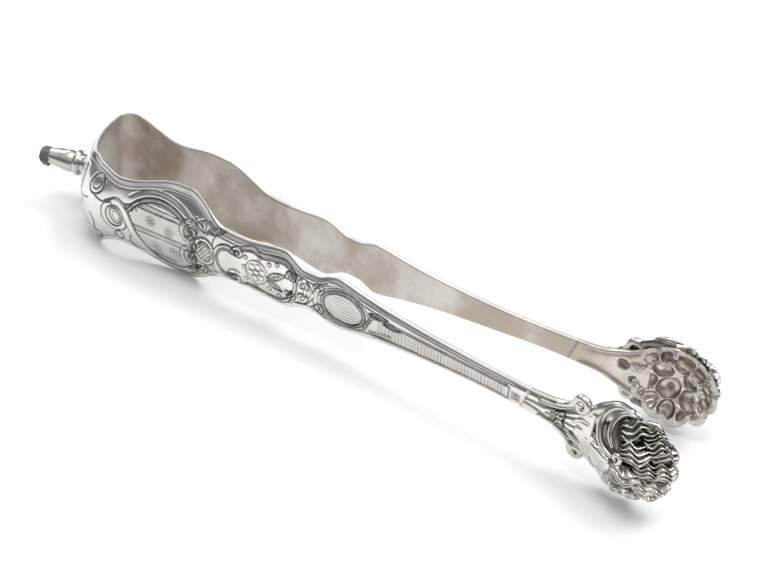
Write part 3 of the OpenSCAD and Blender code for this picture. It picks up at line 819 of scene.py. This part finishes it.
def ear_parts(side):
    """The scrolls that grow out of both edges of the neck and roll up."""
    parts = []
    for s in (1, -1):
        root = np.array([[55.6, 2.7], [57.4, 3.3], [58.8, 4.1], [59.7, 5.2]])
        u = np.linspace(0, 1, 44)
        ang = math.radians(168) - 2 * math.pi * 1.3 * u
        r = 1.55 * (1 - 0.75 * u)
        coil = np.stack([61.2 + r * np.cos(ang), 5.3 + r * np.sin(ang)], 1)
        flat = np.vstack([through(*root, n=6)[:-1], coil])
        v = np.linspace(0, 1, len(flat))
        y = np.array([arm_y(x) for x in flat[:, 0]]) - 0.55 + 0.9 * smooth(0.3, 1.0, v)      # rolls outward
        pts = np.stack([flat[:, 0], y, MID_Z + s * flat[:, 1]], 1)
        rad = 0.45 + 0.4 * smooth(0.0, 0.45, v) - 0.3 * smooth(0.6, 1.0, v)
        p, f = tube(pts, rad)
        tint = {"dark": np.full(len(p), 0.15), "inner": np.full(len(p), 0.1)}
        parts.append((p * np.array([1, side, 1]), f, tint))
    return parts


def rod_on_skin(points, radii, lift, dark=0.1, n=14):
    """A raised scroll that lies on the skin, along a curve through the points."""
    line = through(*points, n=n)
    u = np.linspace(0, 1, len(line))
    rad = np.interp(u, np.linspace(0, 1, len(radii)), radii)
    v, f = tube(over_skin(line[:, 0], line[:, 1], np.full(len(line), lift)), rad)
    return v, f, {"dark": np.full(len(v), dark), "inner": np.zeros(len(v))}


def collar_parts():
    """The leaf collar between the neck and the tufts, in the shell's own frame."""
    root = leaf_patch([(-12.0, 0.4), (-9.4, -0.6), (-6.6, -2.0), (-4.2, -3.2), (-2.6, -4.6)],
                      [0.9, 2.6, 3.8, 3.4, 1.2], 1.15, 0, 0.03)
    low = leaf_patch([(-10.6, -2.6), (-8.6, -4.4), (-6.6, -6.2), (-4.6, -7.6)],
                     [0.8, 1.8, 1.7, 0.5], 0.9, 1, 0.05)
    high = leaf_patch([(-10.6, 2.4), (-8.6, 4.2), (-6.4, 6.4), (-3.4, 8.2), (-1.0, 8.9)],
                      [0.8, 1.7, 1.9, 1.5, 0.5], 0.9, 1, 0.05)
    buds = [leaf_patch([(-6.8, -0.2), (-4.2, -0.4), (-1.8, 0.0)], [1.0, 1.6, 0.6], 1.7, 0, 0.04),
            leaf_patch([(-5.4, -4.4), (-3.6, -5.4), (-1.6, -5.6)], [0.8, 1.3, 0.5], 1.5, 0, 0.04)]
    parts = [root, low, high] + buds
    big = arc((-1.6, 5.2), 4.3, 4.2, 78, 285)
    small = arc((-0.2, 5.6), 3.2, 3.3, 88, 250)
    parts.append(rod_on_skin(big[::5], [0.3, 0.55, 0.7, 0.7, 0.6, 0.35], 1.1, n=8))
    parts.append(rod_on_skin(small[::5], [0.25, 0.5, 0.6, 0.5, 0.3], 1.2, n=8))
    parts.append(rod_on_skin(spiral((-0.6, 1.6), 1.0, -90, 1.1, 0.25)[::4], [0.45, 0.5, 0.35], 1.5, n=6))
    parts.append(rod_on_skin([(-12.4, 1.2), (-11.2, 2.4), (-9.8, 3.0), (-8.6, 2.4), (-8.9, 1.2), (-9.8, 1.0)],
                             [0.25, 0.5, 0.55, 0.5, 0.35, 0.3], 0.6))
    parts.append(rod_on_skin([(-13.2, -1.6), (-11.8, -2.6), (-10.4, -2.9), (-9.4, -2.2), (-9.8, -1.3)],
                             [0.25, 0.45, 0.5, 0.45, 0.3], 0.5))
    return parts


def chase_neck(ch, w):
    """The cast neck: a moulded bar that opens into an acanthus leaf."""
    q, z = ch.q, ch.z
    mid = smooth(50.5, 53.5, q)
    ch.height += 0.25 * mid * np.exp(-(z / (0.45 * w))**4)
    for s in (1, -1):
        stem = [(49.2, 0.5 * s), (53.0, 0.8 * s), (57.5, 1.9 * s), (61.0, 3.6 * s), (63.5, 5.0 * s)]
        ch.groove(stem, 0.24, 0.22, 0.9)
        ch.ridge(through((52.6, 1.9 * s), (55.6, 2.3 * s), (58.2, 3.3 * s), (60.8, 5.2 * s)), 0.42, 0.35)
        ch.ridge(spiral((57.2, 1.1 * s), 0.95, 180 * s, s * 1.2, 0.2), 0.32, 0.3)
        ch.groove(bezier((55.0, 0.6 * s), (58.0, 0.9 * s), (61.0, 2.2 * s), (63.6, 2.9 * s)), 0.2, 0.2, 0.8)
    ch.groove([(54.0, 0), (64.0, 0)], 0.18, 0.16, 0.7)
    seam = np.exp(-((q - LEAN * z - 49.0) / 0.14)**2)
    ch.height -= 0.1 * seam
    ch.stain(0.7 * seam)


def build_terminal(side):
    """The two pieces of a casting: neck, ears and shell, and the collar and tufts raised on them."""
    path_q = np.linspace(SOLDER_X, 64.6, 150)
    shear = smooth(54.0, 49.0, path_q)
    w = half_width(path_q)
    rise = smooth(60.0, 64.6, path_q)
    neck = strip_mesh("neck", side, path_q, chase_neck, neck_inside, thin=STRIP_T - 1.25 * rise, shear=shear,
                      lift=1.1 * rise, rows=70, inner_rows=60)
    mesh = neck.data
    points = np.zeros(len(mesh.vertices) * 3)
    mesh.vertices.foreach_get("co", points)
    attrs = {}
    for key in ("dark", "inner"):
        attrs[key] = np.zeros(len(mesh.vertices))
        mesh.attributes[key].data.foreach_get("value", attrs[key])
    faces = [list(p.vertices)[::-side] for p in mesh.polygons]
    parts = [(points.reshape(-1, 3) / MM, faces, attrs)]
    bpy.data.objects.remove(neck)
    bpy.data.meshes.remove(mesh)
    parts.append(shell_parts(side))
    parts += ear_parts(side)
    draw_in = TUFT_REACH[side]
    tufts = [tuft(k, cx * draw_in, cz * draw_in, *size) for k, (cx, cz, *size) in enumerate(TUFTS)]
    raised = [(to_tongs(v, side), f, a) for v, f, a in collar_parts() + tufts]
    label = "left" if side > 0 else "right"
    return add_mesh(label + "_shell", *join_parts(parts)), add_mesh(label + "_tufts", *join_parts(raised))


# ---- finial
def on_finial(p):
    """From (along the axis, across, up) to the tongs' frame. The axis points away from the tips."""
    k = math.radians(SKEW)
    out = np.array([-math.cos(k), -math.sin(k)])
    across = np.array([-out[1], out[0]])
    base = np.array([FRONT_X, 0.0])
    xy = base[None] + p[:, :1] * out[None] + p[:, 1:2] * across[None]
    return np.stack([xy[:, 0], xy[:, 1], p[:, 2] + MID_Z], 1)


def turned(name, profile, wobble=0.0, facets=0, seed=1, dark=0.1, spokes=96):
    """A turned piece on the finial's axis, from (height, radius) pairs, with a hand-made wobble."""
    prof = np.asarray(profile, float)
    a = np.linspace(0, 2 * math.pi, spokes, endpoint=False)
    u, r = prof[:, 0][:, None], prof[:, 1][:, None]
    rr = r * (1 + wobble * noise(a[None, :] * 3 + 0 * u, u * 2 + 0 * a[None, :], seed, 1.6))
    if facets:
        f = np.cos(((a * facets / (2 * math.pi)) % 1 - 0.5) * 2 * math.pi / facets)
        chip = (f[None, :] - f.min()) / (f.max() - f.min() + 1e-9) * (0.4 + 0.6 * np.abs(np.sin(u * 2.3)))
        rr = rr * (1 - 0.16 * chip)
    pts = np.stack([u + 0 * rr, rr * np.cos(a)[None, :], rr * np.sin(a)[None, :]], -1)
    n = len(prof)
    faces = grid_faces(spokes, n, wrap=True).tolist()
    v = pts.transpose(1, 0, 2).reshape(-1, 3)
    darkening = np.zeros(pts.shape[:2]) + dark
    darkening += 0.5 * np.exp(-(((r - r.min()) / 0.5)**2)) * (u > 0.5)
    attrs = {"dark": np.clip(darkening, 0, 1).T.ravel(), "inner": np.zeros(v.shape[0])}
    return add_mesh(name, on_finial(v), faces, attrs)


# ---- materials
def silver(name, base, tarnish, rough, patina, dull):
    """Old silver: bright where it is rubbed and where a highlight is painted, dark in the chasing and where
    shade is painted on the shell, and warm and dull inside.
    """
    m = bpy.data.materials.new(name)
    m.use_nodes = True
    nt = m.node_tree
    nt.nodes.clear()
    n, link = nt.nodes.new, nt.links.new
    out = n("ShaderNodeOutputMaterial")
    p = n("ShaderNodeBsdfPrincipled")
    link(p.outputs[0], out.inputs[0])
    p.inputs["Metallic"].default_value = 1.0
    coord = n("ShaderNodeTexCoord")

    def tex(scale, detail, rough_):
        t = n("ShaderNodeTexNoise")
        t.inputs["Scale"].default_value = scale
        t.inputs["Detail"].default_value = detail
        t.inputs["Roughness"].default_value = rough_
        link(coord.outputs["Object"], t.inputs["Vector"])
        return t.outputs["Fac"]

    def ramp(value, lo, hi, a=0.0, b=1.0):
        r = n("ShaderNodeMapRange")
        r.interpolation_type = "SMOOTHSTEP"
        link(value, r.inputs["Value"])
        r.inputs["From Min"].default_value = lo
        r.inputs["From Max"].default_value = hi
        r.inputs["To Min"].default_value = a
        r.inputs["To Max"].default_value = b
        return r.outputs["Result"]

    def maths(op, a, b):
        k = n("ShaderNodeMath")
        k.operation = op
        for i, v in enumerate((a, b)):
            if isinstance(v, (int, float)):
                k.inputs[i].default_value = v
            else:
                link(v, k.inputs[i])
        return k.outputs[0]

    def mix(fac, a, b):
        k = n("ShaderNodeMix")
        k.data_type = "RGBA"
        link(fac, k.inputs["Factor"])
        for socket, v in ((k.inputs["A"], a), (k.inputs["B"], b)):
            if isinstance(v, tuple):
                socket.default_value = v + (1.0,)
            else:
                link(v, socket)
        return k.outputs["Result"]

    dark = n("ShaderNodeAttribute")
    dark.attribute_name = "dark"
    inner = n("ShaderNodeAttribute")
    inner.attribute_name = "inner"
    cloud = tex(70, 5, 0.6)
    blotch = tex(210, 6, 0.65)
    specks = tex(900, 3, 0.6)
    grain = tex(4200, 2, 0.5)
    patches = maths("ADD", ramp(cloud, 0.4, 0.62, 0.25, 0.95), ramp(blotch, 0.45, 0.7, 0.0, 0.3))
    stain = maths("MULTIPLY", ramp(inner.outputs["Fac"], 0.3, 1.0), patches)
    veil = mix(ramp(cloud, 0.35, 0.65, 0.2, 0.65), base, (0.50, 0.47, 0.44))
    colour = mix(stain, veil, patina)
    spot = maths("MULTIPLY", ramp(specks, 0.66, 0.74), ramp(blotch, 0.52, 0.66))
    colour = mix(maths("MULTIPLY", spot, 0.7), colour, tarnish)
    # the dark attribute mixes in the tarnish colour: tarnish in the chasing, and painted shade in the shell's
    # hollows and between its tufts
    darkening = maths("MINIMUM", maths("MULTIPLY", dark.outputs["Fac"], ramp(blotch, 0.25, 0.75, 0.7, 1.1)), 1.0)
    colour = mix(darkening, colour, tarnish)
    link(colour, p.inputs["Base Color"])
    wear = ramp(cloud, 0.3, 0.7, rough * 0.8, rough * 1.35)
    wear = maths("ADD", wear, ramp(inner.outputs["Fac"], 0.05, 0.3, 0.0, dull))
    shine = maths("SUBTRACT", 1.0, ramp(inner.outputs["Fac"], 0.05, 0.3, 0.0, 3.0 * dull))
    link(maths("ADD", shine, ramp(inner.outputs["Fac"], 0.4, 1.0, 0.0, 1.7 * dull)), p.inputs["Metallic"])
    wear = maths("ADD", wear, maths("MULTIPLY", darkening, 0.22))
    link(wear, p.inputs["Roughness"])
    bump = n("ShaderNodeBump")
    bump.inputs["Strength"].default_value = 0.25
    bump.inputs["Distance"].default_value = 0.00006
    link(maths("ADD", maths("MULTIPLY", specks, 0.6), maths("MULTIPLY", grain, 0.4)), bump.inputs["Height"])
    link(bump.outputs["Normal"], p.inputs["Normal"])
    return m


M_SILVER = silver("polished_silver", (0.90, 0.88, 0.84), (0.06, 0.05, 0.042), 0.15, (0.50, 0.43, 0.355), 0.2)
M_CAST = silver("cast_silver", (0.88, 0.85, 0.79), (0.06, 0.048, 0.035), 0.16, (0.41, 0.315, 0.195), 0.08)
M_DARK = silver("dark_silver", (0.42, 0.40, 0.38), (0.05, 0.045, 0.04), 0.42, (0.3, 0.28, 0.25), 0.1)


# ---- pieces
def stations(path, end):
    """Stations along one half of the strip: close together where the chasing is fine."""
    a = np.linspace(path.q_start, 20.0, int((20.0 - path.q_start) / 0.195))
    b = np.linspace(20.0, end, int((end - 20.0) / 0.27))
    return np.concatenate([a, b[1:]])


for side, label in ((1, "left"), (-1, "right")):
    q = stations(PATHS[side], SOLDER_X)
    strip = strip_mesh(label + "_strip", side, q, chase_arm, face_inside, shear=smooth(43.0, 48.0, q))
    strip.data.materials.append(M_SILVER)
    if side > 0:
        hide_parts("bow_spring", "left_arm")
    else:
        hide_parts("right_arm")
    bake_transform(strip)
    for cast in build_terminal(side):
        cast.data.materials.append(M_CAST)
        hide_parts(label + "_terminal")
        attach(cast, label + "_side")

FOOT = [(-0.4, 0.0), (-0.4, 3.45), (0.0, 3.55), (0.35, 3.45), (0.6, 3.1), (1.0, 2.75), (1.6, 2.4), (2.3, 2.2),
        (2.7, 2.15), (2.7, 0.0)]
BODY = [(2.4, 0.0), (2.4, 2.25), (2.6, 2.6), (2.9, 2.85), (3.4, 2.9), (3.8, 2.7), (4.0, 2.3), (4.2, 2.2),
        (4.6, 2.45), (5.4, 2.5), (6.8, 2.3), (8.2, 2.1), (9.2, 2.0), (9.9, 1.9), (10.3, 1.85), (10.3, 0.0)]
STUB = [(9.8, 0.0), (9.8, 2.0), (10.2, 2.45), (10.8, 2.15), (11.3, 2.35), (11.8, 2.0), (12.2, 1.7),
        (12.5, 1.0), (12.6, 0.0)]


def finial_piece(name, profile, metal, slot, *nodes, **finish):
    """A turned piece of the finial, which stands for the CAD nodes named."""
    piece = turned(name, profile, **finish)
    piece.data.materials.append(metal)
    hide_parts(*nodes)
    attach(piece, "bow")


finial_piece("finial_foot_ring", FOOT, M_SILVER, "silver", "finial_foot", "finial_rivet",
             wobble=0.02, seed=3, dark=0.2)
finial_piece("finial_body", BODY, M_SILVER, "silver", "finial_stem", wobble=0.04, seed=5, dark=0.28)
finial_piece("finial_stub", STUB, M_DARK, "dark_silver", "finial_tip",
             wobble=0.15, facets=7, seed=8, dark=0.7)


# ---- floor, light and camera
def plain(name, colour, rough):
    m = bpy.data.materials.new(name)
    m.use_nodes = True
    p = m.node_tree.nodes["Principled BSDF"]
    p.inputs["Base Color"].default_value = colour + (1.0,)
    p.inputs["Roughness"].default_value = rough
    return m


bpy.ops.mesh.primitive_plane_add(size=6.0, location=(0, 0, -0.00005))
floor = bpy.context.object
floor.name = "floor"
floor.data.materials.append(plain("floor", (0.9, 0.9, 0.905), 0.6))

world = bpy.data.worlds.new("studio")
bpy.context.scene.world = world
world.use_nodes = True
wn = world.node_tree
wn.nodes.clear()
coord = wn.nodes.new("ShaderNodeTexCoord")
split = wn.nodes.new("ShaderNodeSeparateXYZ")
shade = wn.nodes.new("ShaderNodeValToRGB")
back = wn.nodes.new("ShaderNodeBackground")
wout = wn.nodes.new("ShaderNodeOutputWorld")
wn.links.new(coord.outputs["Generated"], split.inputs[0])
wn.links.new(split.outputs["Z"], shade.inputs["Fac"])
wn.links.new(shade.outputs["Color"], back.inputs["Color"])
wn.links.new(back.outputs[0], wout.inputs[0])
grey = shade.color_ramp.elements          # light floor, dark horizon, bright ceiling
grey[0].position, grey[0].color = 0.0, (0.30, 0.30, 0.31, 1)
grey[1].position, grey[1].color = 0.85, (0.95, 0.95, 0.97, 1)
grey.new(0.3).color = (0.16, 0.16, 0.17, 1)


def softbox(name, location, target, size, power):
    light = bpy.data.lights.new(name, "AREA")
    light.shape = "RECTANGLE"
    light.size, light.size_y = size
    light.energy = power
    obj = bpy.data.objects.new(name, light)
    obj.location = location
    obj.rotation_euler = (Vector(target) - Vector(location)).to_track_quat("-Z", "Y").to_euler()
    bpy.context.scene.collection.objects.link(obj)


softbox("key", (0.30, 0.42, 0.85), (0, 0, 0), (0.5, 0.5), 3.8)
softbox("fill", (-0.75, 0.35, 0.6), (0, 0, 0), (0.5, 0.4), 1.6)
softbox("top", (-0.02, -0.12, 0.9), (-0.03, 0, 0), (0.35, 0.35), 2.2)
softbox("front", (0.8, -0.05, 0.4), (0, 0, 0), (0.4, 0.3), 1.1)

cam_data = bpy.data.cameras.new("camera")
cam_data.lens = 84.7
cam_data.sensor_width = 36.0
cam_data.clip_start = 0.01
cam = bpy.data.objects.new("camera", cam_data)
bpy.context.scene.collection.objects.link(cam)
ahead = Vector((-0.4100, 0.6924, -0.5937)).normalized()
level = ahead.cross(Vector((0, 0, 1))).normalized()
roll = math.radians(4.75)
right = level * math.cos(roll) + level.cross(ahead) * math.sin(roll)
up = right.cross(ahead)
turn = Matrix((right, up, -ahead)).transposed().to_4x4()
cam.matrix_world = Matrix.Translation((0.1585, -0.2514, 0.2291)) @ turn
bpy.context.scene.camera = cam
bpy.context.scene.view_settings.view_transform = "Standard"
